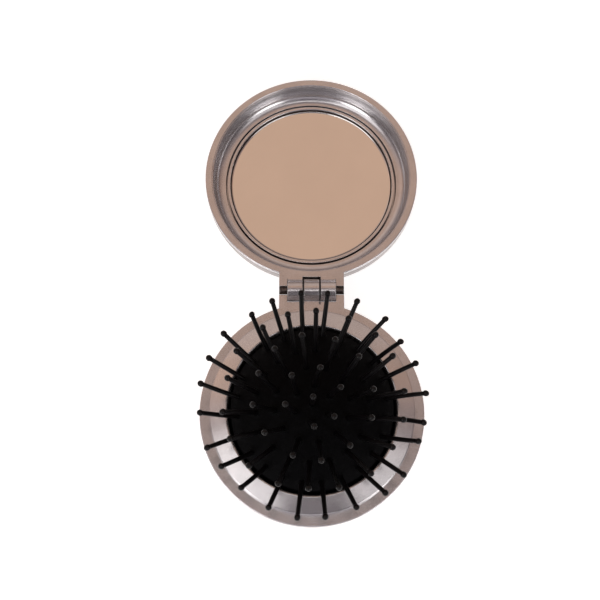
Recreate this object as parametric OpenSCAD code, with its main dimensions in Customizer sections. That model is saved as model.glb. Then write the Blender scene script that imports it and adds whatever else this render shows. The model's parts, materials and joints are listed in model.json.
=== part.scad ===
// Folding pocket hairbrush with a mirror in its lid, lying open on a table.
// Millimetres. +Z is up, +Y points from the brush to the lid, and the origin is on the table,
// straight below the middle of the hinge pin. The brush stands popped up out of its base.
// When the lid shuts, the domed cushion rolls down into the base and the pins stand upright.

/* [Case] */
// Diameter of each round half
case_d = 66; // [64:1:72]
// Height of each half, from the table to its rim
half_h = 13.85; // [13.6:0.05:16]
// Gap left between the two rims when the case is shut
seam_gap = 0.3; // [0.2:0.05:0.5]
// Thickness of the case walls
wall = 1.5; // [1.2:0.1:1.8]
// Thickness of the case floors
floor_t = 1.2; // [1:0.1:1.3]
// Diameter of the flat face that each half rests on
flat_d = 44; // [40:1:48]
// Height at which the rounded belly of each half reaches its full width
belly_h = 10; // [9:0.25:10.5]
// Thickness of the rim flanges on the two inner mouldings
rim_t = 1.35; // [1.2:0.05:1.5]
// Depth of the skirt that plugs the brush frame into its shell
skirt_h = 3; // [2:0.25:3.5]
// Thickness of the skirt
skirt_t = 1.4; // [1.2:0.1:1.5]
// Clearance between mouldings that plug into each other
plug_gap = 0.1; // [0.05:0.05:0.15]
// Chamfer on the outer edge of each rim
rim_chamfer = 0.3; // [0.2:0.05:0.4]
// Diameter of the thumb hole in the back of the base
thumb_hole_d = 21; // [20.5:0.5:22]

/* [Brush frame] */
// Height of the collar's outer edge above the rim
collar_h = 4; // [3.5:0.1:4.2]
// Width of the ledge round the collar
ledge_w = 3.25; // [3.1:0.05:3.6]
// Width of the collar's top face
collar_w = 5.35; // [5.2:0.05:5.6]
// Thickness of the collar's outer wall
collar_t = 1.45; // [1.3:0.05:1.5]
// Thickness of the collar's top
collar_top_t = 1.6; // [1.4:0.1:2]
// Rise of the collar's top face from its outer edge to the cushion
collar_rise = 1.5; // [1:0.1:1.6]
// Radius of the collar's rounded edges
collar_edge = 0.6; // [0.4:0.05:0.8]
// Thickness of the lip that the cushion's rim is clamped against
lip_t = 1.2; // [1:0.1:1.3]

/* [Cushion] */
// Height of the dome above the collar's inner edge
dome_h = 9.3; // [8.6:0.1:9.7]
// Thickness of the rubber
rubber_t = 0.9; // [0.7:0.05:1]
// Height of the cushion's side wall below the collar's inner edge
cushion_wall_h = 9; // [8.5:0.25:9.25]
// Thickness of the cushion's clamped rim
cushion_rim_t = 1; // [0.8:0.1:1.2]
// Running gap between the cushion and the collar
cushion_gap = 0.3; // [0.2:0.05:0.4]
// Thickness of the ring that clamps the cushion's rim
clamp_t = 1.45; // [1.2:0.05:1.8]
// Diameter of the clamp screws
clamp_screw_d = 1.5; // [1.4:0.1:1.6]
// Diameter of the clamp screws' heads
clamp_head_d = 2.6; // [2.4:0.1:2.8]
// Height of the clamp screws' heads
clamp_head_h = 0.9; // [0.8:0.05:1]
// Length of thread that the clamp screws have in the frame's bosses
clamp_bite = 3; // [2.5:0.25:3.5]
// Number of clamp screws
clamp_screws_n = 4; // [3:1:6]
// Azimuth of the first clamp screw, clockwise from the hinge, in degrees
clamp_screw_phase = 45; // [30:5:60]

/* [Pins] */
// Length of a pin from the rubber to the top of its ball
pin_l = 14.2; // [13.5:0.1:14.4]
// Diameter of a pin at the rubber
pin_d = 1.4; // [1.3:0.05:1.45]
// Diameter of a pin below its ball
pin_neck_d = 1.2; // [1.1:0.05:1.3]
// Diameter of the ball tip
ball_d = 1.84; // [1.7:0.02:1.9]
// Lean of the outermost pins away from upright, in degrees
outer_lean = 47; // [44:1:48]
// Distance from the outermost ring of pins to the edge of the cushion
pin_margin = 2.9; // [2.8:0.05:3.2]
// Diameter of the foot under the rubber
foot_d = 3; // [2.6:0.1:3.1]
// Thickness of the foot
foot_t = 0.5; // [0.4:0.05:0.55]
// Gap between the foot and the rubber
foot_gap = 0.3; // [0.25:0.01:0.32]
// Clearance all round a pin in the rubber
pin_hole_gap = 0.06; // [0.04:0.01:0.1]

/* [Push pad] */
// Diameter of the thumb face
thumb_face_d = 19.2; // [18.5:0.1:19.5]
// Thickness of the thumb face's flange
thumb_face_t = 0.9; // [0.7:0.05:1]
// Diameter of the pad's upper disc
pad_disc_d = 13; // [12:0.5:13]
// Diameter of the pad's boss round the foot of the centre pin
pad_boss_d = 4.8; // [4.4:0.1:5]
// Depth of the dish in the thumb face
thumb_dish = 0.35; // [0.2:0.05:0.4]
// Gap between the pad's disc and the feet of the innermost ring
pad_clear = 0.4; // [0.3:0.05:0.5]
// How far the thumb face lies inside the back when the brush is shut
pad_recess = 0.4; // [0.2:0.1:0.6]
// Gap between the tip of the centre pin and the mirror when the brush is shut
shut_clear = 1.25; // [1.2:0.05:1.4]

/* [Hinge] */
// Distance from the edge of each half to the hinge axis
hinge_reach = 4; // [3.9:0.05:4.4]
// Diameter of the hinge barrels
barrel_d = 6.6; // [6:0.1:6.6]
// Clearance round the barrels in the other half's pockets
barrel_gap = 0.35; // [0.25:0.05:0.4]
// Width of the base's tongue
tongue_w = 4.7; // [4.4:0.1:5]
// Width of each of the lid's knuckles
knuckle_w = 4.5; // [4.2:0.1:4.8]
// Side clearance between tongue and knuckles
knuckle_gap = 0.25; // [0.2:0.05:0.3]
// Whole width of the hinge blocks
block_w = 19.7; // [19:0.1:20.5]
// Distance from the hinge axis to the end faces of the outer blocks
block_setback = 1.3; // [1.2:0.05:1.5]
// Diameter of the steel pin
hinge_pin_d = 1.9; // [1.7:0.05:2]
// How far each end of the pin stops short of the block's side
hinge_pin_inset = 0.25; // [0.1:0.05:0.4]
// Chamfer on the ends of the steel pin
hinge_pin_chamfer = 0.2; // [0.1:0.05:0.3]
// Running clearance of the pin in the knuckles
hinge_pin_gap = 0.05; // [0.03:0.01:0.08]

/* [Lid] */
// Width of the lid's flat rim
lid_rim_w = 2; // [1.8:0.05:2.1]
// Depth of the mirror below the rim
mirror_depth = 6.5; // [6.3:0.1:6.8]
// Depth of the cove's floor below the rim
cove_depth = 6.3; // [6.1:0.05:6.5]
// Radius of the cove where its wall meets its floor
cove_r = 2.4; // [2:0.1:2.5]
// Draft of the cove's wall, from the rim inwards
cove_draft = 0.7; // [0.5:0.05:0.7]
// Thickness of the liner behind the cove
liner_t = 1.1; // [1:0.05:1.1]
// Thickness of the liner's floor
liner_floor_t = 1.2; // [1.1:0.05:1.3]
// Flat ring between the cove and the mirror's recess
cove_flat = 0.4; // [0.3:0.05:0.5]
// Gap between the bezel and the recess
bezel_gap = 0.3; // [0.2:0.05:0.4]
// Width of the bezel ring
bezel_w = 1.45; // [1.3:0.05:1.6]
// Width of the bezel's wall beside the glass
bezel_wall = 0.8; // [0.7:0.05:0.9]
// Height of the bezel above the glass
bezel_lip_t = 0.45; // [0.35:0.05:0.5]
// Thickness of the mirror glass
glass_t = 1.3; // [1:0.1:1.4]
// Bevel on the edge of the glass
glass_bevel = 0.25; // [0.15:0.05:0.3]
// Gap round the glass
glass_gap = 0.15; // [0.1:0.05:0.2]
// Thickness of the adhesive foam behind the glass
foam_t = 0.8; // [0.6:0.1:0.9]
// Distance of the foam's edge from the glass's edge
foam_inset = 1.2; // [1:0.1:2]
// Distance of the liner screws from the middle of the lid
liner_screw_r = 16; // [14:0.5:18]
// Diameter of the liner screws
liner_screw_d = 1.5; // [1.4:0.1:1.6]
// Diameter of the liner screws' countersunk heads
liner_head_d = 3; // [2.8:0.1:3.2]
// Height of the liner screws' heads
liner_head_h = 0.8; // [0.7:0.05:0.9]
// Length of the liner screws
liner_screw_l = 3.3; // [3:0.1:3.4]
// Diameter of the cover's screw bosses
cover_boss_d = 4; // [3.6:0.1:4.5]
// Number of liner screws
liner_screws_n = 3; // [3:1:5]

/* [Hidden] */
RING_N = [1, 6, 12, 18, 24];         // pins in each ring, from the middle outwards
RING_PHASE = [0, 5, 21, 3, 8];       // azimuth of each ring's first pin, clockwise from +Y
RING_NAME = ["centre_pin", "pins_inner_", "pins_second_", "pins_third_", "pins_outer_"];
RINGS = len(RING_N) - 1;
eps = 0.05;                          // overshoot of cutting tools past a face
touch = 0.05;                        // gap between faces that rest on each other
slot_share = 0.6;                    // length of a screw's cross, as a share of its head
$fn = 96;

case_r = case_d / 2;
flat_r = flat_d / 2;
axis_z = half_h + seam_gap / 2;
half_y = case_r + hinge_reach;       // distance from the hinge axis to each half's middle
skirt_r = case_r - wall - plug_gap;
shell_top = half_h - rim_t - touch;

// Collar and cushion
top_z = half_h + collar_h;           // outer edge of the collar's sloping top
crest_z = top_z + collar_rise;       // its inner edge
collar_slope = atan(collar_rise / (collar_w - 2 * collar_edge));
collar_r = case_r - ledge_w;
lip_r = collar_r - collar_w;
cushion_r = lip_r - cushion_gap;
cushion_z = crest_z - cushion_wall_h;  // underside of the cushion's clamped rim
lip_z = cushion_z + cushion_rim_t + touch;
cushion_rim_r = collar_r - collar_t - plug_gap;
clamp_z = cushion_z - clamp_t - touch;
clamp_screw_r = (lip_r + lip_t + collar_r - collar_t) / 2;
clamp_boss_r = (collar_r - collar_t - lip_r - lip_t) / 2 + plug_gap;

// Dome: a sphere that meets the cushion's side wall level with the collar's inner edge
dome_r = (cushion_r ^ 2 + dome_h ^ 2) / (2 * dome_h);
dome_z = crest_z + dome_h - dome_r;
apex_z = crest_z + dome_h;

// Pins
ring_pitch = (cushion_r - pin_margin) / RINGS;
foot_drop = rubber_t + foot_gap;     // from the rubber's outside to the top of a foot
function ring_z(k) = dome_z + sqrt(dome_r ^ 2 - (ring_pitch * k) ^ 2);
function ring_lean(k) = let (t = k / RINGS) outer_lean * (t + t ^ 2 * (3 - 2 * t)) / 2;
function pin_azimuth(k, i) = RING_PHASE[k] + i * 360 / RING_N[k];

// Push pad: travel takes the centre pin from popped up to just under the shut mirror
mirror_shut_z = axis_z + seam_gap / 2 + mirror_depth;
travel = apex_z + pin_l - (mirror_shut_z - shut_clear);
pad_z = pad_recess + travel;
pad_boss_z = apex_z - rubber_t - foot_gap;
pad_disc_z = ring_z(1) - foot_drop - foot_t - pad_clear;

// Hinge
barrel_r = barrel_d / 2;
pocket_r = barrel_r + barrel_gap;
tongue_x = tongue_w / 2;
knuckle_x0 = tongue_x + knuckle_gap;
knuckle_x1 = knuckle_x0 + knuckle_w;
block_y = half_y - sqrt(case_r ^ 2 - (block_w / 2) ^ 2) + rim_chamfer;
block_h = half_h - axis_z + barrel_r;

// Lid
mouth_r = case_r - lid_rim_w;
cove_wall_r = skirt_r - liner_t;
cove_c = cove_wall_r - cove_r;       // centre of the cove's arc
cove_z = half_h - cove_depth;
cove_c_z = cove_z + cove_r;
recess_r = cove_c - cove_flat;
glass_top = half_h - mirror_depth;
glass_z = glass_top - glass_t;
foam_z = glass_z - foam_t;           // floor of the recess
liner_z = foam_z - liner_floor_t;
bezel_r = recess_r - bezel_gap;
bezel_in_r = bezel_r - bezel_w;
glass_r = bezel_r - bezel_wall - glass_gap;
liner_back_a = acos((recess_r + liner_t - cove_c) / (cove_r + liner_t));

function arc(cx, cy, rx, ry, a0, a1, n = 12) =
    [for (i = [0:n]) let (a = a0 + (a1 - a0) * i / n) [cx + rx * cos(a), cy + ry * sin(a)]];

module at_base() translate([0, -half_y, 0]) children();
module at_lid() translate([0, half_y, 0]) children();

// Lathe-turned ring or bowl with the given profile of [radius, height] points
module turned(profile) rotate_extrude() polygon(profile);

// n copies round a circle, the first one on +Y
module round_about(n, r, phase = 0)
    for (i = [0:n - 1]) rotate([0, 0, -phase - i * 360 / n]) translate([0, r, 0]) children();

// Cylinder along X between x0 and x1 on the hinge axis
module on_axis(r, x0, x1) translate([x0, 0, axis_z]) rotate([0, 90, 0]) cylinder(r = r, h = x1 - x0);

// Cutter for a screwdriver's cross in a screw head, centred on the head's outer face
module cross_slot(head_d, head_h) for (a = [0, 90]) rotate([0, 0, a])
    cube([head_d * slot_share, head_h / 3, head_h], center = true);

// A pair of the same shape, at +X and at -X
module both_sides() for (s = [0, 1]) mirror([s, 0, 0]) children();

// ---- Case shells ----

// Round bowl with a flat back and a rounded belly, open at the top
module bowl() {
    difference() {
        turned(concat([[0, 0]],
                      arc(flat_r, belly_h, case_r - flat_r, belly_h, -90, 0),
                      [[case_r, shell_top], [0, shell_top]]));
        turned(concat([[0, floor_t]],
                      arc(flat_r, belly_h, case_r - wall - flat_r, belly_h - floor_t, -90, 0),
                      [[case_r - wall, shell_top + eps], [0, shell_top + eps]]));
    }
}

module base_shell() color([0.72, 0.67, 0.63]) at_base() difference() {
    bowl();
    translate([0, 0, -eps]) cylinder(d = thumb_hole_d, h = floor_t + 2 * eps);
}

module lid_cover() color([0.72, 0.67, 0.63]) at_lid() difference() {
    union() {
        bowl();
        round_about(liner_screws_n, liner_screw_r)
            cylinder(d = cover_boss_d, h = liner_z - touch);
    }
    round_about(liner_screws_n, liner_screw_r) translate([0, 0, foam_z - liner_screw_l - touch])
        cylinder(d = liner_screw_d, h = liner_screw_l);
}

// ---- Hinge ----

// One half's hinge block: flush with its rim, outside its shell, and set back from the axis
module hinge_block() intersection() {
    difference() {
        translate([-block_w / 2, 0, half_h - block_h])
            cube([block_w, block_y, block_h]);
        translate([0, half_y, 0]) cylinder(r = case_r + touch, h = half_h - rim_t);
        on_axis(pocket_r, -knuckle_x1 - knuckle_gap, knuckle_x1 + knuckle_gap);
        translate([-block_w / 2 - eps, -eps, 0])
            cube([block_w + 2 * eps, block_setback + eps, axis_z]);
    }
    translate([-block_w, 0, 0]) cube([2 * block_w, 2 * half_y, half_h]);
}

// Barrel with the arm that joins it to the block of its own half
module barrel(x0, x1) {
    on_axis(barrel_r, x0, x1);
    difference() {
        translate([x0, 0, axis_z - barrel_r])
            cube([x1 - x0, block_y, half_h - axis_z + barrel_r]);
        translate([0, half_y, 0]) cylinder(r = case_r + touch, h = half_h - rim_t);
    }
}

module hinge_pin() color([0.62, 0.62, 0.63]) {
    pin_end = block_w / 2 - hinge_pin_inset;
    pin_r = hinge_pin_d / 2;
    translate([-pin_end, 0, axis_z]) rotate([0, 90, 0])
        turned([[0, 0], [pin_r - hinge_pin_chamfer, 0], [pin_r, hinge_pin_chamfer],
                [pin_r, 2 * pin_end - hinge_pin_chamfer],
                [pin_r - hinge_pin_chamfer, 2 * pin_end], [0, 2 * pin_end]]);
}

// ---- Base ----

module brush_frame() color([0.78, 0.73, 0.69]) difference() {
    union() {
        at_base() turned(concat(
            [[lip_r, lip_z]],
            arc(lip_r + collar_edge, crest_z - collar_edge,
                collar_edge, collar_edge, 180, 90 - collar_slope, 6),
            arc(collar_r - collar_edge, top_z - collar_edge,
                collar_edge, collar_edge, 90 - collar_slope, 0, 6),
            [[collar_r, half_h], [case_r - rim_chamfer, half_h], [case_r, half_h - rim_chamfer],
             [case_r, half_h - rim_t], [skirt_r, half_h - rim_t],
             [skirt_r, half_h - rim_t - skirt_h], [skirt_r - skirt_t, half_h - rim_t - skirt_h],
             [skirt_r - skirt_t, half_h - rim_t], [collar_r - collar_t, half_h - rim_t],
             [collar_r - collar_t, top_z - collar_top_t],
             [lip_r + lip_t, crest_z - collar_top_t], [lip_r + lip_t, lip_z]]));
        at_base() round_about(clamp_screws_n, clamp_screw_r, clamp_screw_phase) translate([0, 0, lip_z])
            cylinder(r = clamp_boss_r, h = crest_z - collar_top_t - lip_z + eps);
        mirror([0, 1, 0]) hinge_block();
        mirror([0, 1, 0]) barrel(-tongue_x, tongue_x);
    }
    on_axis(hinge_pin_d / 2, -tongue_x - eps, tongue_x + eps);
    at_base() round_about(clamp_screws_n, clamp_screw_r, clamp_screw_phase) translate([0, 0, lip_z - eps])
        cylinder(d = clamp_screw_d, h = clamp_bite + 2 * eps);
}

module pin_hole(k, i) at_pin(k, i) translate([0, 0, -foot_drop])
    cylinder(d = pin_d + 2 * pin_hole_gap, h = 2 * foot_drop);

module cushion() color([0.08, 0.08, 0.09]) difference() {
    at_base() difference() {
        union() {
            intersection() {
                translate([0, 0, dome_z]) sphere(r = dome_r, $fn = 192);
                translate([0, 0, cushion_z]) cylinder(r = cushion_r, h = apex_z);
            }
            translate([0, 0, cushion_z]) cylinder(r = cushion_rim_r, h = cushion_rim_t);
        }
        intersection() {
            translate([0, 0, dome_z]) sphere(r = dome_r - rubber_t, $fn = 192);
            translate([0, 0, cushion_z - eps]) cylinder(r = cushion_r - rubber_t, h = apex_z);
        }
        round_about(clamp_screws_n, clamp_screw_r, clamp_screw_phase) translate([0, 0, cushion_z - eps])
            cylinder(d = clamp_screw_d + 2 * plug_gap, h = cushion_rim_t + 2 * eps);
    }
    for (k = [0:RINGS]) for (i = [0:RING_N[k] - 1]) pin_hole(k, i);
}

module cushion_clamp() color([0.2, 0.2, 0.21]) at_base() difference() {
    translate([0, 0, clamp_z]) cylinder(r = cushion_rim_r, h = clamp_t);
    translate([0, 0, clamp_z - eps]) cylinder(r = cushion_r - cushion_gap, h = clamp_t + 2 * eps);
    round_about(clamp_screws_n, clamp_screw_r, clamp_screw_phase) translate([0, 0, clamp_z - eps])
        cylinder(d = clamp_screw_d + 2 * plug_gap, h = clamp_t + 2 * eps);
}

module clamp_screws() color([0.6, 0.6, 0.6]) at_base()
    round_about(clamp_screws_n, clamp_screw_r, clamp_screw_phase) {
        translate([0, 0, clamp_z - clamp_head_h]) difference() {
            cylinder(d = clamp_head_d, h = clamp_head_h);
            cross_slot(clamp_head_d, clamp_head_h);
        }
        translate([0, 0, clamp_z - eps])
            cylinder(d = clamp_screw_d, h = lip_z + clamp_bite - clamp_z + eps);
    }

// ---- Brush pins ----

// Root of pin i of ring k: on the dome's outside, with +Z along the pin
module at_pin(k, i) at_base() rotate([0, 0, -pin_azimuth(k, i)])
    translate([0, ring_pitch * k, ring_z(k)]) rotate([-ring_lean(k), 0, 0]) children();

// Tapered pin with a foot that holds it under the rubber and a ball at its tip
module pin(k, i) at_pin(k, i) {
    translate([0, 0, -foot_drop - foot_t]) cylinder(d = foot_d, h = foot_t, $fn = 48);
    translate([0, 0, -foot_drop - eps])
        cylinder(d1 = pin_d, d2 = pin_neck_d, h = foot_drop + eps + pin_l - ball_d / 2, $fn = 32);
    translate([0, 0, pin_l - ball_d / 2]) sphere(d = ball_d, $fn = 32);
}

module pin_pair(k, j) color([0.05, 0.05, 0.06]) for (i = [2 * j - 2, 2 * j - 1]) pin(k, i);

module centre_pin() color([0.05, 0.05, 0.06]) pin(0, 0);

// Thumb face with a dish below, a stepped disc above and a socket for the centre pin's foot
module push_pad() color([0.12, 0.12, 0.13]) at_base() difference() {
    union() {
        translate([0, 0, pad_z]) cylinder(d = thumb_face_d, h = thumb_face_t);
        translate([0, 0, pad_z]) cylinder(d = pad_disc_d, h = pad_disc_z - pad_z);
        translate([0, 0, pad_z]) cylinder(d = pad_boss_d, h = pad_boss_z - pad_z);
    }
    translate([0, 0, pad_boss_z - foot_t - touch])
        cylinder(d = foot_d + plug_gap, h = foot_t + touch + eps);
    translate([0, 0, pad_z]) turned([[0, -eps], [thumb_face_d / 2 - thumb_face_t, -eps],
        [thumb_face_d / 2 - thumb_face_t, 0], [thumb_face_d / 4, thumb_dish], [0, thumb_dish]]);
}

// ---- Lid ----

module lid_liner() color([0.78, 0.73, 0.69]) difference() {
    union() {
        at_lid() turned(concat(
            [[0, liner_z], [recess_r + liner_t, liner_z]],
            arc(cove_c, cove_c_z, cove_r + liner_t, cove_r + liner_t, -liner_back_a, 0),
            [[skirt_r, half_h - rim_t], [case_r, half_h - rim_t], [case_r, half_h - rim_chamfer],
             [case_r - rim_chamfer, half_h], [mouth_r, half_h],
             [cove_wall_r + cove_draft - rim_chamfer, half_h - rim_t]],
            arc(cove_c, cove_c_z, cove_r, cove_r, 0, -90),
            [[recess_r, cove_z], [recess_r, foam_z], [0, foam_z]]));
        lid_hinge_half();
    }
    on_axis(hinge_pin_d / 2 + hinge_pin_gap, -knuckle_x1 - eps, knuckle_x1 + eps);
    at_lid() round_about(liner_screws_n, liner_screw_r) {
        translate([0, 0, liner_z - eps])
            cylinder(d = liner_screw_d + 2 * plug_gap, h = liner_floor_t + 2 * eps);
        translate([0, 0, foam_z - liner_head_h])
            cylinder(d1 = liner_screw_d + plug_gap, d2 = liner_head_d + 2 * plug_gap,
                     h = liner_head_h + eps / 10);
    }
}

// Two knuckles and the block behind them, with the pocket for the base's tongue
module lid_hinge_half() {
    hinge_block();
    both_sides() barrel(knuckle_x0, knuckle_x1);
}

module liner_screws() color([0.6, 0.6, 0.6]) at_lid()
    round_about(liner_screws_n, liner_screw_r) {
        translate([0, 0, foam_z - liner_head_h - touch]) difference() {
            cylinder(d1 = liner_screw_d, d2 = liner_head_d, h = liner_head_h);
            translate([0, 0, liner_head_h]) cross_slot(liner_head_d, liner_head_h);
        }
        translate([0, 0, foam_z - liner_screw_l])
            cylinder(d = liner_screw_d, h = liner_screw_l - liner_head_h);
    }

module mirror_pad() color([0.85, 0.85, 0.85]) at_lid() translate([0, 0, foam_z + touch / 2])
    cylinder(r = glass_r - foam_inset, h = foam_t - touch);

module mirror_glass() color([0.8, 0.82, 0.83]) at_lid()
    turned([[0, glass_z], [glass_r - glass_bevel, glass_z], [glass_r, glass_z + glass_bevel],
            [glass_r, glass_top - glass_bevel], [glass_r - glass_bevel, glass_top],
            [0, glass_top]]);

module mirror_bezel() color([0.8, 0.75, 0.71]) at_lid()
    turned([[bezel_r - bezel_wall, foam_z + touch], [bezel_r, foam_z + touch],
            [bezel_r, glass_top + bezel_lip_t - rim_chamfer],
            [bezel_r - rim_chamfer, glass_top + bezel_lip_t],
            [bezel_in_r + rim_chamfer / 2, glass_top + bezel_lip_t],
            [bezel_in_r, glass_top + touch], [bezel_r - bezel_wall, glass_top + touch]]);

base_shell();
brush_frame();
cushion();
cushion_clamp();
clamp_screws();
hinge_pin();
push_pad();
centre_pin();
for (k = [1:RINGS]) for (j = [1:RING_N[k] / 2])
    pin_pair(k, j);
lid_cover();
lid_liner();
liner_screws();
mirror_pad();
mirror_glass();
mirror_bezel();
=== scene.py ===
import json
import math
import bpy
import bmesh
from mathutils import Matrix, Vector

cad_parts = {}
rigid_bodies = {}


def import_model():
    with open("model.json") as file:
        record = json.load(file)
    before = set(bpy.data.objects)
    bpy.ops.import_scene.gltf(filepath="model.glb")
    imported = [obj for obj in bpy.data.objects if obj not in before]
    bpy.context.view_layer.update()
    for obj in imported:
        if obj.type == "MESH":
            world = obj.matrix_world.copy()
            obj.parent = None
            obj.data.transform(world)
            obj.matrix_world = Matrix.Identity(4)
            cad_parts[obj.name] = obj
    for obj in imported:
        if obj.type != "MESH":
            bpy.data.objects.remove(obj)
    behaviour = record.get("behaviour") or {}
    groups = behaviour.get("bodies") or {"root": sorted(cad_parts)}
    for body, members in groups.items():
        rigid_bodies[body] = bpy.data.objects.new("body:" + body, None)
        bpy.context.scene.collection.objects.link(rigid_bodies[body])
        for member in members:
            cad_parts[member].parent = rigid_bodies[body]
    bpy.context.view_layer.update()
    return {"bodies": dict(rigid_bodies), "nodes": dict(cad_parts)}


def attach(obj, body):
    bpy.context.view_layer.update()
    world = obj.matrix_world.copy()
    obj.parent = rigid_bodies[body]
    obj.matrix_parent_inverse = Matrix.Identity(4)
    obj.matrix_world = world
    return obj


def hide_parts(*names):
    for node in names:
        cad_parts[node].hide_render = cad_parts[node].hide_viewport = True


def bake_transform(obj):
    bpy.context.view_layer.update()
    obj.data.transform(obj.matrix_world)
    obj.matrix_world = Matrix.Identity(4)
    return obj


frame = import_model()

# ---- The table, the lights and the camera ----
# The brush lies open on a white table, inside a pale round backdrop that only the camera sees. Soft lamps
# stand on the near side, a high and a low one to each hand and a narrow one over the camera, under the warm
# ceiling that the mirror shows. The camera looks down, tilted 15 degrees.


def add(tree, kind, inputs=None, **settings):
    """Adds a node, with its settings, and with each named socket set to a value or fed by an output."""
    made = tree.nodes.new(kind)
    for name, value in settings.items():
        setattr(made, name, value)
    for name, value in (inputs or {}).items():
        if isinstance(value, bpy.types.NodeSocket):
            tree.links.new(value, made.inputs[name])
        else:
            made.inputs[name].default_value = value
    return made


def blank_finish(name):
    """A new material: its node tree, its shader and the Object coordinates."""
    finish = bpy.data.materials.new(name)
    finish.use_nodes = True
    tree = finish.node_tree
    return finish, tree, tree.nodes["Principled BSDF"], add(tree, "ShaderNodeTexCoord").outputs["Object"]


def noise(tree, where, waves, detail, harsh=0.5):
    """A random grey pattern with so many waves to the metre."""
    return add(tree, "ShaderNodeTexNoise", {"Vector": where, "Scale": waves, "Detail": detail,
                                            "Roughness": harsh}).outputs["Fac"]


def shades(tree, by, *stops):
    """A ramp from one colour to the next, led by a grey value. Each stop is (place, red, green, blue)."""
    ramp = add(tree, "ShaderNodeValToRGB", {"Fac": by})
    while len(ramp.color_ramp.elements) < len(stops):
        ramp.color_ramp.elements.new(0.5)
    for element, (place, *colour) in zip(ramp.color_ramp.elements, stops):
        element.position, element.color = place, (*colour, 1)
    return ramp.outputs["Color"]


def between(tree, value, low, high):
    """Stretches a 0 to 1 value over the range from low to high."""
    return add(tree, "ShaderNodeMapRange", {"Value": value, "To Min": low, "To Max": high}).outputs["Result"]


def grained(name, waves, detail, dark, light, rough=None, sockets=None, harsh=0.5):
    """A material whose fine grain goes from a dark to a light shade, each (place, red, green, blue), and from
    the first to the second value of rough. sockets are the shader's plain values."""
    finish, tree, shader, where = blank_finish(name)
    grain = noise(tree, where, waves, detail, harsh)
    tree.links.new(shades(tree, grain, dark, light), shader.inputs["Base Color"])
    if rough:
        tree.links.new(between(tree, grain, *rough), shader.inputs["Roughness"])
    for socket, value in (sockets or {}).items():
        shader.inputs[socket].default_value = value
    return finish


table_white = grained("table_white", 30.0, 4.0, (0.3, 0.88, 0.88, 0.88), (0.7, 0.92, 0.92, 0.92),
                      sockets={"Roughness": 0.9, "Emission Color": (1, 1, 1, 1), "Emission Strength": 0.68})


def stand_in_room(name, corners, faces):
    """A white surface of the room, which isn't part of the brush. It lies a hair under the brush's back."""
    mesh = bpy.data.meshes.new(name)
    mesh.from_pydata(corners, [], faces)
    mesh.materials.append(table_white)
    surface = bpy.data.objects.new(name, mesh)
    surface.location.z = -0.0002
    bpy.context.collection.objects.link(surface)
    return surface


TABLE_HALF = 9
BACKDROP_R, BACKDROP_TOP, BACKDROP_SIDES = 8, 5, 64
stand_in_room("table", [(x * TABLE_HALF, y * TABLE_HALF, 0) for x, y in ((-1, -1), (1, -1), (1, 1), (-1, 1))],
              [(0, 1, 2, 3)])
corner_turns = [2 * math.pi * k / BACKDROP_SIDES for k in range(BACKDROP_SIDES)]
backdrop = stand_in_room(
    "backdrop", [(BACKDROP_R * math.sin(a), BACKDROP_R * math.cos(a), z) for z in (-0.1, BACKDROP_TOP)
                 for a in corner_turns],
    [(k, (k + 1) % BACKDROP_SIDES, BACKDROP_SIDES + (k + 1) % BACKDROP_SIDES, BACKDROP_SIDES + k)
     for k in range(BACKDROP_SIDES)])
backdrop.visible_diffuse = False
backdrop.visible_glossy = False
backdrop.visible_shadow = False


def from_sides(tree, value):
    """Brings a value that goes from -1 to 1 into the range from 0 to 1."""
    return add(tree, "ShaderNodeMapRange", {"Value": value, "From Min": -1.0}).outputs["Result"]


room = bpy.data.worlds.new("room")
room.use_nodes = True
bpy.context.scene.world = room
tree = room.node_tree
heading = add(tree, "ShaderNodeTexCoord").outputs["Generated"]
side = add(tree, "ShaderNodeSeparateXYZ", {"Vector": heading}).outputs
ceiling = shades(tree, from_sides(tree, side["Y"]), (0.02, 1.0, 0.93, 1.0), (0.13, 0.075, 0.065, 0.085),
                 (0.36, 0.15, 0.125, 0.135), (0.5, 0.27, 0.218, 0.208), (0.61, 0.49, 0.374, 0.33),
                 (0.635, 0.597, 0.405, 0.302), (0.73, 0.597, 0.405, 0.302), (0.78, 0.62, 0.50, 0.44))
low_walls = shades(tree, side["Z"], (0.0, 0.30, 0.29, 0.31), (0.30, 0.42, 0.40, 0.42), (0.65, 1.0, 1.0, 1.0))
window_side = shades(tree, from_sides(tree, side["X"]), (0.12, 0.86, 0.86, 0.87), (0.40, 0.66, 0.65, 0.64),
                     (0.60, 0.66, 0.65, 0.64), (0.85, 0.48, 0.46, 0.47))
glow = ceiling
for shade in (low_walls, window_side):
    glow = add(tree, "ShaderNodeMix", {"Factor": 1.0, 6: glow, 7: shade}, data_type="RGBA",
               blend_type="MULTIPLY").outputs[2]
tree.nodes["Background"].inputs["Strength"].default_value = 1.525
tree.links.new(glow, tree.nodes["Background"].inputs["Color"])

LAMP_REACH = 0.75


def soft_lamp(name, heading, width, depth, watts):
    """A round or oval soft lamp at that heading from the brush, facing it."""
    light = bpy.data.lights.new(name, "AREA")
    light.shape, light.size, light.size_y = "ELLIPSE", width, depth
    light.energy, light.color = watts, (1, 0.98, 0.96)
    lamp = bpy.data.objects.new(name, light)
    aim = Vector(heading).normalized()
    lamp.location = aim * LAMP_REACH
    lamp.rotation_mode = "QUATERNION"
    lamp.rotation_quaternion = aim.to_track_quat("Z", "Y")
    bpy.context.collection.objects.link(lamp)


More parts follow.
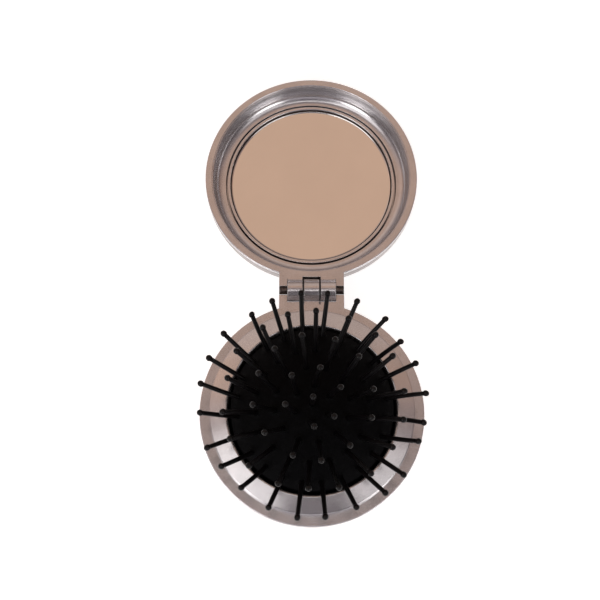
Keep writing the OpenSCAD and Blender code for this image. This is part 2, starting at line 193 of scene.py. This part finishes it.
soft_lamp("lamp_left", (-0.49, -0.35, 0.80), 0.50, 0.50, 0.72)
soft_lamp("lamp_right", (0.48, -0.34, 0.81), 0.40, 0.40, 0.30)
soft_lamp("low_lamp_left", (-0.60, -0.66, 0.45), 0.34, 0.34, 1.0)
soft_lamp("low_lamp_right", (0.60, -0.66, 0.45), 0.34, 0.34, 0.95)
soft_lamp("strip_lamp", (0.0, -0.28, 0.96), 0.46, 0.08, 0.18)

camera_data = bpy.data.cameras.new("camera")
camera_data.lens, camera_data.sensor_width = 62.5, 36
camera_data.clip_start, camera_data.clip_end = 0.01, 20
camera = bpy.data.objects.new("camera", camera_data)
camera.location = (-0.0035, -0.0857, 0.3167)
camera.rotation_euler = (math.radians(15.27), 0, 0)
bpy.context.collection.objects.link(camera)
bpy.context.scene.camera = camera
bpy.context.scene.view_settings.view_transform = "Standard"

# ---- Base shell ----
# The round lower bowl of the brush half: moulded plastic 1.5 mm thick, sprayed in satin silver-champagne.
# Its flat back has a thumb hole, and its rounded belly runs up to a thin joint under the frame's rim.
MM = 0.001
BASE_Y, LID_Y = -37.0, 37.0


def relief(finish, waves, detail, strength, height):
    """Gives a finish fine bumps, so many waves to the metre and up to that height in mm."""
    tree = finish.node_tree
    grain = noise(tree, tree.nodes["Texture Coordinate"].outputs["Object"], waves, detail)
    bump = add(tree, "ShaderNodeBump", {"Height": grain, "Strength": strength, "Distance": height * MM})
    tree.links.new(bump.outputs["Normal"], tree.nodes["Principled BSDF"].inputs["Normal"])


def paint(name, deep, light, rough, metal=0.85):
    """Metallic spray paint: fine flakes and cloudy drifts of shade over a faint orange peel."""
    finish, tree, shader, where = blank_finish(name)
    flakes = add(tree, "ShaderNodeTexVoronoi", {"Vector": where, "Scale": 8500.0}).outputs["Color"]
    glitter = add(tree, "ShaderNodeSeparateColor", {"Color": flakes}).outputs["Red"]
    drift = noise(tree, where, 160.0, 5.0)
    glitter, drift = between(tree, glitter, 0.0, 0.25), between(tree, drift, 0.17, 0.57)
    mixed = add(tree, "ShaderNodeMath", {0: glitter, 1: drift}, operation="ADD").outputs["Value"]
    tree.links.new(shades(tree, mixed, (0.25, *deep), (0.75, *light)), shader.inputs["Base Color"])
    shader.inputs["Metallic"].default_value = metal
    worn = noise(tree, where, 420.0, 3.0)
    tree.links.new(between(tree, worn, rough - 0.05, rough + 0.06), shader.inputs["Roughness"])
    shader.inputs["Coat Weight"].default_value = 0.25
    shader.inputs["Coat Roughness"].default_value = 0.22
    relief(finish, 1500.0, 2.0, 0.04, 0.04)
    return finish


def arc(middle, height, wide, tall, first, last, steps):
    """Points of (radius, height) along part of an ellipse, in degrees from the horizontal."""
    turns = [math.radians(first + (last - first) * i / steps) for i in range(steps + 1)]
    return [(middle + wide * math.cos(a), height + tall * math.sin(a)) for a in turns]


def eased(corners, steps=4):
    """A section's corners, each (radius, height) or (radius, height, easing), with the eased ones rounded."""
    points = []
    for i, corner in enumerate(corners):
        here = Vector(corner[:2])
        if len(corner) == 2:
            points.append(here)
            continue
        easing = corner[2]
        back = (Vector(corners[i - 1][:2]) - here).normalized()
        on = (Vector(corners[(i + 1) % len(corners)][:2]) - here).normalized()
        half = back.angle(on) / 2
        middle = here + (back + on).normalized() * (easing / math.sin(half))
        spoke = here + back * (easing / math.tan(half)) - middle
        turn = math.copysign(math.pi - 2 * half, back.x * on.y - back.y * on.x)
        points += [middle + Matrix.Rotation(-turn * k / steps, 2) @ spoke for k in range(steps + 1)]
    return [tuple(p) for p in points]


def turned(section, middle_y, steps=180):
    """The mesh of a closed section of (radius, height) corners, in mm, turned once round an upright line."""
    mesh = bpy.data.meshes.new("turned")
    bm = bmesh.new()
    angles = [2 * math.pi * k / steps for k in range(steps)]
    rings = []
    for radius, height in eased(section):
        if radius < 1e-6:
            rings.append([bm.verts.new((0, middle_y * MM, height * MM))] * steps)
        else:
            rings.append([bm.verts.new((radius * MM * math.sin(a), (middle_y + radius * math.cos(a)) * MM,
                                        height * MM)) for a in angles])
    for lower, upper in zip(rings, rings[1:] + rings[:1]):
        for k in range(steps):
            corners = []
            for vert in (lower[k - 1], lower[k], upper[k], upper[k - 1]):
                if vert not in corners:
                    corners.append(vert)
            if len(corners) > 2:
                bm.faces.new(corners)
    bm.to_mesh(mesh)
    bm.free()
    return mesh


def made_of(name, mesh, *finishes):
    """Links a new piece with its finish, its faces outwards, smooth but for its real edges."""
    bm = bmesh.new()
    bm.from_mesh(mesh)
    bmesh.ops.remove_doubles(bm, verts=bm.verts, dist=1e-7)
    bmesh.ops.recalc_face_normals(bm, faces=bm.faces)
    for face in bm.faces:
        face.smooth = True
    for edge in bm.edges:
        edge.smooth = len(edge.link_faces) == 2 and edge.calc_face_angle() < math.radians(32)
    bm.to_mesh(mesh)
    bm.free()
    mesh.name = name
    mesh.materials.clear()
    for finish in finishes:
        mesh.materials.append(finish)
    piece = bpy.data.objects.new(name, mesh)
    bpy.context.collection.objects.link(piece)
    return piece


bowl_back = arc(22, 10, 11, 10, -90, 0, 20)
bowl_edge = [(33, 12.45, 0.22), (31.5, 12.45, 0.15)]
bowl_front = arc(22, 10, 9.5, 8.8, 0, -90, 20)
thumb_hole = [(10.5, 1.2, 0.25), (10.5, 0.0, 0.45)]
case_paint = paint("case_paint", (0.32, 0.29, 0.285), (0.50, 0.455, 0.445), 0.36, 0.6)
base_shell = made_of("base_shell_bowl", turned(thumb_hole + bowl_back + bowl_edge + bowl_front, BASE_Y),
                     case_paint)
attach(base_shell, "base")
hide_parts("base_shell")

# ---- Brush frame ----
# The bright upper moulding of the base: rim ledge, raised collar whose top slopes up to the cushion, skirt
# that plugs it into the shell, and the hinge's block and tongue, all one piece of plastic. Under each end of
# the hinge pin lies a half-round trough in dark painted shade, which darkens the slits beside the pin.
HINGE_Z = 14
BLOCK_TOP = 13.845  # a hair under the rim's 13.85, so that the two flats don't meet when they are joined


def plain(piece):
    """Turns a piece and its modifiers into a plain mesh."""
    shown = piece.evaluated_get(bpy.context.evaluated_depsgraph_get())
    mesh = bpy.data.meshes.new_from_object(shown)
    piece.modifiers.clear()
    piece.data = mesh
    return piece


def weighted(piece):
    """Lets the broad faces lead the shading, so that flats look flat beside their rounded edges."""
    piece.modifiers.new("weighted", "WEIGHTED_NORMAL").keep_sharp = True
    return plain(piece)


def fused(name, body, tools, *finishes):
    """Joins or cuts a mesh with others, one after the other: tools are ("UNION" or "DIFFERENCE", mesh)."""
    piece = made_of(name, body, *finishes)
    for how, mesh in tools:
        tool = made_of("tool", mesh)
        step = piece.modifiers.new(how, "BOOLEAN")
        step.operation, step.object, step.solver = how, tool, "EXACT"
        plain(piece)
        bpy.data.objects.remove(tool)
    done = made_of(name + "_done", piece.data, *finishes)
    bpy.data.objects.remove(piece)
    done.name = name
    return weighted(done)


def bar(across, outline, easing=0.0):
    """A straight bar along X between two places, from its (y, z) outline in mm, with its edges eased."""
    mesh = bpy.data.meshes.new("bar")
    bm = bmesh.new()
    ends = [[bm.verts.new((x * MM, y * MM, z * MM)) for y, z in outline] for x in across]
    bm.faces.new(ends[0])
    bm.faces.new(ends[1])
    for k in range(len(outline)):
        bm.faces.new((ends[0][k - 1], ends[0][k], ends[1][k], ends[1][k - 1]))
    bmesh.ops.recalc_face_normals(bm, faces=bm.faces)
    if easing:
        edges = [e for e in bm.edges if e.calc_face_angle() > math.radians(40)]
        bmesh.ops.bevel(bm, geom=edges, offset=easing * MM, segments=3, profile=0.5, affect="EDGES")
    bm.to_mesh(mesh)
    bm.free()
    return mesh


def about_hinge(radius, turns):
    """Points of (y, z) at that radius from the hinge's axis, one for each turn in radians."""
    return [(radius * math.cos(a), HINGE_Z + radius * math.sin(a)) for a in turns]


def round_bar(across, radius, easing=0.0):
    """A round bar on the hinge's axis."""
    return bar(across, about_hinge(radius, [2 * math.pi * k / 64 for k in range(64)]), easing)


def knuckle(toward, across, hub, easing):
    """A barrel round the hinge's axis and the arm that joins it to its own half, as one bar."""
    barrel = about_hinge(hub, [math.radians(-2.6 + 272.6 * i / 40) for i in range(41)])
    arm = [(5.8, HINGE_Z - hub), (5.8, BLOCK_TOP)]
    return bar(across, [(toward * y, z) for y, z in barrel + arm], easing)


def hinge_leaf(toward, knuckles):
    """One half's hinge block, and what is cut from it and joined to it: a trough for the barrels, a pocket for
    the tongue, the knuckles, the room of the shell and the bore. toward is 1 for the lid, -1 for the base."""
    def box(across, near, far, low, high, easing=0.0):
        return bar(across, [(toward * y, z) for y, z in ((near, low), (far, low), (far, high), (near, high))],
                   easing)

    block = box((-9.85, 9.85), 1.3, 5.8, 10.7, BLOCK_TOP, 0.2)
    leaf = [("DIFFERENCE", round_bar((-7.35, 7.35), 3.65)),
            ("DIFFERENCE", box((-2.75, 2.75), 0, 4.4, 12.4, 14.4))]
    leaf += [("UNION", knuckle(toward, across, 3.3, 0.1)) for across in knuckles]
    shell_room = turned([(0, 9), (33.05, 9), (33.05, 12.51), (0, 12.51)], toward * LID_Y)
    return block, leaf + [("DIFFERENCE", shell_room), ("DIFFERENCE", round_bar((-7.3, 7.3), 1.0))]


frame_paint = paint("frame_paint", (0.54, 0.525, 0.54), (0.78, 0.76, 0.775), 0.23)
collar = [(24.4, 11.4), (24.4, 19.35, 0.6), (29.35, 17.96), (29.75, 17.73), (29.75, 13.85, 0.25),
          (33, 13.85, 0.35), (33, 12.5, 0.15), (31.4, 12.5), (31.4, 9.5, 0.2), (30, 9.5, 0.2), (30, 12.5),
          (28.3, 12.5), (28.3, 16.25), (25.6, 17.75), (25.6, 11.4)]
block, leaf = hinge_leaf(-1, [(-2.25, 2.25)])
brush_frame = fused("brush_frame_collar", block, leaf + [("UNION", turned(collar, BASE_Y))], frame_paint)
# Painted shade: a dark brown that stands for the shade in the slits, pockets and joints where it is used.
painted_shade = grained("painted_shade", 700.0, 4.0, (0.3, 0.030, 0.022, 0.020), (0.8, 0.070, 0.052, 0.046),
                     (0.55, 0.8), {"Specular IOR Level": 0.2})
# Half-round troughs under the pin's ends, dark with painted shade, fill the slits beside the pin with shade.
under_pin = [math.radians(188 + 164 * i / 24) for i in range(25)]
shade_cradle = about_hinge(1.28, under_pin) + about_hinge(0.82, reversed(under_pin))
for name, across in (("hinge_shade_cradle_left", (-9.8, -7.4)), ("hinge_shade_cradle_right", (7.4, 9.8))):
    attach(made_of(name, bar(across, shade_cradle), painted_shade), "base")
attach(brush_frame, "base")
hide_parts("brush_frame")

# ---- Cushion ----
# The soft black rubber dome that carries the pins. It is moulded thin, with a small raised eyelet round each
# pin, and its rim is clamped under the collar.
RINGS = [(1, 0.0), (6, 5.0), (12, 21.0), (18, 3.0), (24, 8.0)]  # pins, and the first one's place in degrees
RING_PITCH = 5.3
OUTER_LEAN = 47
TIP_REACH = 13.3  # from a pin's root to the middle of its ball
DOME_R, DOME_Z = 35.8758, -7.2258  # the ball that the dome is a part of, and the height of its middle
RUBBER = 0.9
# How far each pin's tip strays from its place, ring by ring: degrees round the brush, and degrees of lean.
STRAYS = {
    0: [(0, -2)],
    1: [(30, 3), (25, 2), (30, 3), (-20, 4), (25, 2), (28, 3)],
    2: [(0, 6), (-8, 5), (4, 3), (-5, 4), (6, 2), (5, 6), (-6, 3), (8, 1), (5, 2), (9, 1), (3, 5), (-2, 8)],
    3: [(-2, 8), (2, 7), (2, 9), (-6, 9), (4, 8), (-2, 8), (-6, 7), (-3, 8), (2, 4), (0, 0), (-2, 3), (3, 5),
        (5, 5), (-2, 5), (4, 1), (0, 7), (8, 4), (3, 7)],
    4: [(0, 7), (2, 8), (9, 7), (9, -5), (4, 0), (7, 6), (8, 2), (-9, 1), (2, 6), (-5, 5), (-1, 0), (3, 3),
        (-1, 5), (-1, 1), (6, -3), (6, -2), (-4, 5), (6, 3), (6, 6), (2, 6), (1, 8), (9, -4), (2, 3), (4, 7)]}


def on_dome(radius, inset=0.0):
    """The height of the dome at that radius, or of its inner face at an inset."""
    return DOME_Z + math.sqrt((DOME_R - inset) ** 2 - radius ** 2)


def pointing(turn, lean):
    """The direction that leans so far from upright, at that turn round the brush."""
    return Vector((math.sin(turn) * math.sin(lean), math.cos(turn) * math.sin(lean), math.cos(lean)))


def pin_roots():
    """Each pin's ring, number, root on the dome, direction and the sway of its tip, in mm."""
    for ring, (count, first) in enumerate(RINGS):
        share = ring / 4
        lean = math.radians(OUTER_LEAN * (share + share ** 2 * (3 - 2 * share)) / 2)
        radius = ring * RING_PITCH
        for k in range(count):
            turn = math.radians(first + k * 360 / count)
            root = Vector((math.sin(turn) * radius, BASE_Y + math.cos(turn) * radius, on_dome(radius)))
            askew, tilt = (math.radians(angle) for angle in STRAYS[ring][k])
            aim = pointing(turn, lean)
            yield ring, k, root, aim, TIP_REACH * (pointing(turn + askew, lean + tilt) - aim)


rubber = grained("cushion_rubber", 900.0, 6.0, (0.45, 0.0009, 0.0009, 0.0012), (0.85, 0.004, 0.004, 0.005),
                 (0.5, 0.75), {"Specular IOR Level": 0.05}, harsh=0.7)
relief(rubber, 2600.0, 3.0, 0.25, 0.06)

roots = list(pin_roots())
outside = [(r, on_dome(r)) for r in [23.3 * (i / 64) for i in range(65)]]
wall = [(23.5, 19.0), (23.62, 17.6), (23.75, 15.6), (23.9, 13.4), (24.05, 11.6), (24.1, 11.35)]
flange = [(28.2, 11.35, 0.15), (28.2, 10.35, 0.15), (23.2, 10.35, 0.15)]
wall_inside = [(23.0, 11.6), (22.8, 13.4), (22.7, 15.6), (22.6, 17.6)]
inside = [(r, on_dome(r, RUBBER)) for r in [22.4 * (1 - i / 24) for i in range(25)]]
dome_mesh = turned(outside + wall + flange + wall_inside + inside, BASE_Y, 240)
dome_middle = Vector((0, BASE_Y, DOME_Z))
for vert in dome_mesh.vertices:
    place = vert.co / MM
    on_wall = math.hypot(place.x, place.y - BASE_Y) > 23.4
    if on_wall or abs((place - dome_middle).length - DOME_R) > 0.05:
        continue
    outward = (place - dome_middle).normalized()
    near = min((root - place).length for ring, k, root, aim, sway in roots)
    eyelet = math.exp(-(((near - 0.95) / 0.45) ** 2))
    vert.co += outward * MM * 0.32 * eyelet
cushion = made_of("cushion_dome", dome_mesh, rubber)
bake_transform(cushion)
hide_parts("cushion")

# ---- Clamp ring and its screws ----
# A flat black ring and four small steel screws hold the cushion's rim up against the frame's bosses.
# They keep the solids of the part's source, and only the thumb hole lets the eye reach them.
dark_plastic = grained("dark_plastic", 1800.0, 4.0, (0.3, 0.012, 0.012, 0.013), (0.8, 0.028, 0.028, 0.030),
                       (0.42, 0.6))
relief(dark_plastic, 1800.0, 4.0, 0.3, 0.05)

steel, tree, shader, where = blank_finish("turned_steel")
drawn_out = add(tree, "ShaderNodeMapping", {"Vector": where, "Scale": (9000.0, 300.0, 300.0)})
lines = noise(tree, drawn_out.outputs["Vector"], 1.0, 3.0)
tree.links.new(shades(tree, lines, (0.3, 0.42, 0.42, 0.43), (0.7, 0.62, 0.61, 0.61)),
               shader.inputs["Base Color"])
tree.links.new(between(tree, lines, 0.22, 0.4), shader.inputs["Roughness"])
shader.inputs["Metallic"].default_value = 1.0


def refinish(node, finish):
    """Gives a solid of the source the finish of the real piece."""
    for slot in frame["nodes"][node].material_slots:
        slot.material = finish


refinish("cushion_clamp", dark_plastic)
refinish("clamp_screws", steel)

# ---- Brush pins ----
# 61 pins of black nylon, each with a foot under the rubber, a taper and a ball at its tip. The centre pin
# rides the push pad, and the others go in pairs, each pair on its own body. None stands quite straight.
RING_NODES = ("centre_pin", "pins_inner_", "pins_second_", "pins_third_", "pins_outer_")
PIN_SIZES = {"Length": 14.2, "Root Radius": 0.72, "Neck Radius": 0.65, "Ball Radius": 0.92, "Foot Radius": 1.5,
             "Foot Thickness": 0.5, "Foot Depth": 1.2}
nylon = grained("pin_nylon", 1200.0, 4.0, (0.4, 0.0015, 0.0012, 0.0015), (0.85, 0.005, 0.004, 0.005),
                (0.26, 0.38), {"Specular IOR Level": 0.21})
relief(nylon, 1200.0, 4.0, 0.12, 0.04)


def pin_nodes():
    """The node tree that stands a moulded pin on each point, along its aim, and bends it by its sway."""
    tree = bpy.data.node_groups.new("moulded_pins", "GeometryNodeTree")
    face = tree.interface
    face.new_socket("Roots", in_out="INPUT", socket_type="NodeSocketGeometry")
    for name in PIN_SIZES:
        face.new_socket(name, in_out="INPUT", socket_type="NodeSocketFloat")
    face.new_socket("Finish", in_out="INPUT", socket_type="NodeSocketMaterial")
    face.new_socket("Pins", in_out="OUTPUT", socket_type="NodeSocketGeometry")
    size = tree.nodes.new("NodeGroupInput").outputs

    def reckoned(operation, first, second, **settings):
        return add(tree, "ShaderNodeMath", {0: first, 1: second}, operation=operation, **settings).outputs[0]

    def lifted(geometry, height):
        place = add(tree, "ShaderNodeCombineXYZ", {"Z": height}).outputs[0]
        return add(tree, "GeometryNodeTransform", {"Geometry": geometry, "Translation": place}).outputs[0]

    def stored(name, kind):
        named = add(tree, "GeometryNodeInputNamedAttribute", {"Name": name}, data_type=kind)
        return named.outputs["Attribute"]

    reach = reckoned("ADD", size["Length"], reckoned("MULTIPLY", size["Ball Radius"], -1.0))
    under = reckoned("MULTIPLY", size["Foot Depth"], -1.0)
    half_foot = reckoned("MULTIPLY", size["Foot Thickness"], -0.5)
    stem = add(tree, "GeometryNodeMeshCone", {
        "Vertices": 12, "Side Segments": 4, "Radius Top": size["Neck Radius"],
        "Radius Bottom": size["Root Radius"], "Depth": reckoned("ADD", reach, size["Foot Depth"])},
        fill_type="NONE").outputs["Mesh"]
    ball = add(tree, "GeometryNodeMeshUVSphere", {
        "Segments": 12, "Rings": 7, "Radius": size["Ball Radius"]}).outputs["Mesh"]
    foot = add(tree, "GeometryNodeMeshCylinder", {
        "Vertices": 12, "Radius": size["Foot Radius"], "Depth": size["Foot Thickness"]}).outputs["Mesh"]
    joined = tree.nodes.new("GeometryNodeJoinGeometry")
    for form, height in ((stem, under), (ball, reach), (foot, reckoned("ADD", under, half_foot))):
        tree.links.new(lifted(form, height), joined.inputs[0])
    place = tree.nodes.new("GeometryNodeInputPosition").outputs[0]
    height = add(tree, "ShaderNodeSeparateXYZ", {0: place}).outputs["Z"]
    share = reckoned("DIVIDE", height, size["Length"], use_clamp=True)
    pin = add(tree, "GeometryNodeStoreNamedAttribute", {
        "Geometry": joined.outputs[0], "Name": "share", "Value": share}).outputs[0]
    pin = add(tree, "GeometryNodeSetShadeSmooth", {"Geometry": pin}).outputs[0]
    upright = add(tree, "FunctionNodeAlignRotationToVector", {"Vector": stored("aim", "FLOAT_VECTOR")},
                  axis="Z").outputs[0]
    pins = add(tree, "GeometryNodeInstanceOnPoints", {
        "Points": size["Roots"], "Instance": pin, "Rotation": upright}).outputs[0]
    pins = add(tree, "GeometryNodeRealizeInstances", {"Geometry": pins}).outputs[0]
    bend = reckoned("POWER", stored("share", "FLOAT"), 1.35)
    pushed = add(tree, "ShaderNodeVectorMath", {0: stored("sway", "FLOAT_VECTOR"), "Scale": bend},
                 operation="SCALE").outputs[0]
    pins = add(tree, "GeometryNodeSetPosition", {"Geometry": pins, "Offset": pushed}).outputs[0]
    pins = add(tree, "GeometryNodeSetMaterial", {"Geometry": pins, "Material": size["Finish"]}).outputs[0]
    tree.links.new(pins, tree.nodes.new("NodeGroupOutput").inputs[0])
    return tree


moulded_pins = pin_nodes()


def stand_pins(name, pins):
    """The pins of one body as one plain mesh: pins are (root, aim, sway) in mm."""
    mesh = bpy.data.meshes.new(name)
    mesh.from_pydata([root * MM for root, aim, sway in pins], [], [])
    aims = [number for root, aim, sway in pins for number in aim]
    sways = [number for root, aim, sway in pins for number in sway * MM]
    for kind, numbers in (("aim", aims), ("sway", sways)):
        mesh.attributes.new(kind, "FLOAT_VECTOR", "POINT").data.foreach_set("vector", numbers)
    piece = bpy.data.objects.new(name, mesh)
    bpy.context.collection.objects.link(piece)
    stand = piece.modifiers.new("stand", "NODES")
    stand.node_group = moulded_pins
    key = {s.name: s.identifier for s in moulded_pins.interface.items_tree if s.in_out == "INPUT"}
    for size, value in PIN_SIZES.items():
        stand[key[size]] = value * MM
    stand[key["Finish"]] = nylon
    return plain(piece)


bodies = {}
for ring, k, root, aim, sway in roots:
    node = RING_NODES[ring] + (str(k // 2 + 1) if ring else "")
    bodies.setdefault(node, []).append((root, aim, sway))
for node, pins in bodies.items():
    piece = stand_pins(node + "_moulded", pins)
    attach(piece, node if node in frame["bodies"] else "push_pad")
    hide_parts(node)

# ---- Push pad ----
# The pad under the middle of the cushion, matt black: a thumb face with moulded grip rings, a stepped hub and
# the socket that the foot of the centre pin snaps into.
grip_rings = [(1.2 + k * 1.15, 24.2 - (0.16 if k % 2 else 0.0), 0.1) for k in range(7)]
thumb_face = [(0, 24.2)] + grip_rings + [(8.9, 23.85, 0.12), (9.6, 23.85, 0.25), (9.6, 24.75, 0.25)]
hub = [(6.5, 24.95, 0.2), (6.5, 26.14, 0.3), (2.4, 26.14, 0.15), (2.4, 27.45, 0.15), (1.55, 27.45, 0.1)]
socket = [(1.55, 26.9), (0, 26.9)]
push_pad = weighted(made_of("push_pad_thumb_face", turned(thumb_face + hub + socket, BASE_Y, 96),
                            dark_plastic))
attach(push_pad, "push_pad")
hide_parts("push_pad")

# ---- Hinge pin and its washers ----
# A burnished steel pin pressed through the tongue. It runs through the lid's knuckles, and both of its
# thinner, rounded ends show. Thin black washers fill the gaps between tongue, knuckles and blocks.
pin_outline = [(0.76, -9.6, 0.2), (0.76, -7.3, 0.1), (0.95, -7.1), (0.95, 7.1), (0.76, 7.3, 0.1),
               (0.76, 9.6, 0.2), (0, 9.6), (0, -9.6)]
hinge_pin_mesh = turned(pin_outline, 0, 40)
hinge_pin_mesh.transform(Matrix.Translation((0, 0, HINGE_Z * MM)) @ Matrix.Rotation(math.radians(90), 4, "Y"))
burnished_steel = grained("burnished_steel", 1400.0, 4.0, (0.35, 0.07, 0.058, 0.054), (0.8, 0.22, 0.19, 0.18),
                          (0.24, 0.4), {"Metallic": 1.0})
hinge_pin = weighted(made_of("hinge_pin_steel", hinge_pin_mesh, burnished_steel))
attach(hinge_pin, "base")
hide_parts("hinge_pin")
for name, across in (("hinge_washer_1", (-7.34, -7.24)), ("hinge_washer_2", (-2.72, -2.28)),
                     ("hinge_washer_3", (2.28, 2.72)), ("hinge_washer_4", (7.24, 7.34))):
    washer = made_of(name, round_bar(across, 3.15, 0.03), dark_plastic)
    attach(washer, "base")

# ---- Lid cover ----
# The outer bowl of the lid, moulded and sprayed like the base shell, but with a closed back. The liner sits
# in it and closes it, and its screws go into the cover.
lid_bowl = [(0, 0)] + bowl_back + bowl_edge + bowl_front + [(0, 1.2)]
lid_cover = made_of("lid_cover_bowl", turned(lid_bowl, LID_Y), case_paint)
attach(lid_cover, "lid")
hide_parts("lid_cover")

# ---- Lid liner ----
# The bright inner moulding of the lid: flat rim with a fine groove, a cove that curves down to the mirror's
# recess, and the two knuckles of the hinge, with the pocket for the base's tongue between them, painted dark
# with painted shade. Three steel screws, hidden under the mirror, hold it to the cover.
liner_back = [(0, 4.05), (28.2, 4.05, 0.3)] + arc(27.9, 9.95, 3.5, 3.5, -60, 0, 10)
rim = [(31.4, 12.5), (33, 12.5, 0.15), (33, 13.85, 0.35), (30.95, 13.85, 0.2)]
rim_groove = [(30.9, 13.45), (30.76, 13.45), (30.7, 13.6, 0.06)]
cove = arc(27.3, 10.6, 3.0, 3.05, 0, -90, 18)
recess = [(26.95, 7.55, 0.12), (26.95, 5.25, 0.1), (0, 5.25)]
block, leaf = hinge_leaf(1, [(-7.22, -2.75), (2.75, 7.22)])
lid_liner = fused("lid_liner_cove", block,
                  leaf + [("UNION", turned(liner_back + rim + rim_groove + cove + recess, LID_Y))],
                  frame_paint, painted_shade)
# The faces of the tongue's pocket take the painted shade, dark as the shade inside it.
for face in lid_liner.data.polygons:
    spot = face.center / MM
    if abs(spot.x) < 2.77 and 2.2 < spot.y < 4.45 and spot.z < 13.8:
        face.material_index = 1
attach(lid_liner, "lid")
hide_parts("lid_liner")
refinish("liner_screws", steel)

# ---- Mirror ----
# A round glass mirror 52.5 mm across with an eased edge, silvered all over. It is stuck into the liner's
# recess on a white foam disc.
foam, tree, shader, where = blank_finish("adhesive_foam")
cells = add(tree, "ShaderNodeTexVoronoi", {"Vector": where, "Scale": 2500.0}).outputs["Distance"]
tree.links.new(shades(tree, cells, (0.1, 0.55, 0.54, 0.50), (0.7, 0.80, 0.79, 0.76)),
               shader.inputs["Base Color"])
shader.inputs["Roughness"].default_value = 0.9
refinish("mirror_pad", foam)

silvered_glass = grained("silvered_glass", 70.0, 5.0, (0.3, 0.86, 0.85, 0.84), (0.7, 0.89, 0.88, 0.87),
                         (0.02, 0.045), {"Metallic": 1.0})
mirror_glass = weighted(made_of("mirror_glass_disc", turned(
    [(0, 6.05), (26.25, 6.05, 0.1), (26.25, 6.5, 0.1), (0, 6.5)], LID_Y), silvered_glass))
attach(mirror_glass, "lid")
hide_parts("mirror_glass")

# ---- Mirror bezel ----
# A thin painted ring pressed into the recess. Its inner wall and its outer joint are painted dark with painted
# shade, for the shade in the groove and the joint, and its bare, bright lip laps over the edge of the glass
# and holds it down.
LIP_R, SHADE_WALL_R, SHADE_JOINT_R = 25.2, 25.58, 26.47
bezel_paint = paint("bezel_paint", (0.58, 0.56, 0.57), (0.82, 0.80, 0.81), 0.24)
bright_lip = grained("bright_lip", 500.0, 4.0, (0.3, 0.78, 0.75, 0.73), (0.7, 0.86, 0.83, 0.81),
                     (0.10, 0.20), {"Metallic": 1.0})
ring_outside = [(26.2, 5.3), (26.48, 5.3), (26.48, 7.8, 0.2), (25.62, 7.8, 0.12)]
shade_wall = [(25.56, 7.4), (25.44, 6.7), (25.22, 6.7)]
lip = [(25.16, 6.75, 0.03), (24.9, 6.61, 0.02), (24.9, 6.52), (26.2, 6.52)]
mirror_bezel = weighted(made_of("mirror_bezel_ring", turned(ring_outside + shade_wall + lip, LID_Y),
                                bezel_paint, painted_shade, bright_lip))
# Faces of the inner wall and of the outer joint get the painted shade; the lip's faces get the bright lip.
for face in mirror_bezel.data.polygons:
    spots = [mirror_bezel.data.vertices[v].co / MM for v in face.vertices]
    radii = [math.hypot(spot.x, spot.y - LID_Y) for spot in spots]
    if max(radii) < LIP_R:
        face.material_index = 2
    elif max(radii) < SHADE_WALL_R or min(radii) > SHADE_JOINT_R:
        face.material_index = 1
    else:
        face.material_index = 0
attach(mirror_bezel, "lid")
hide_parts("mirror_bezel")
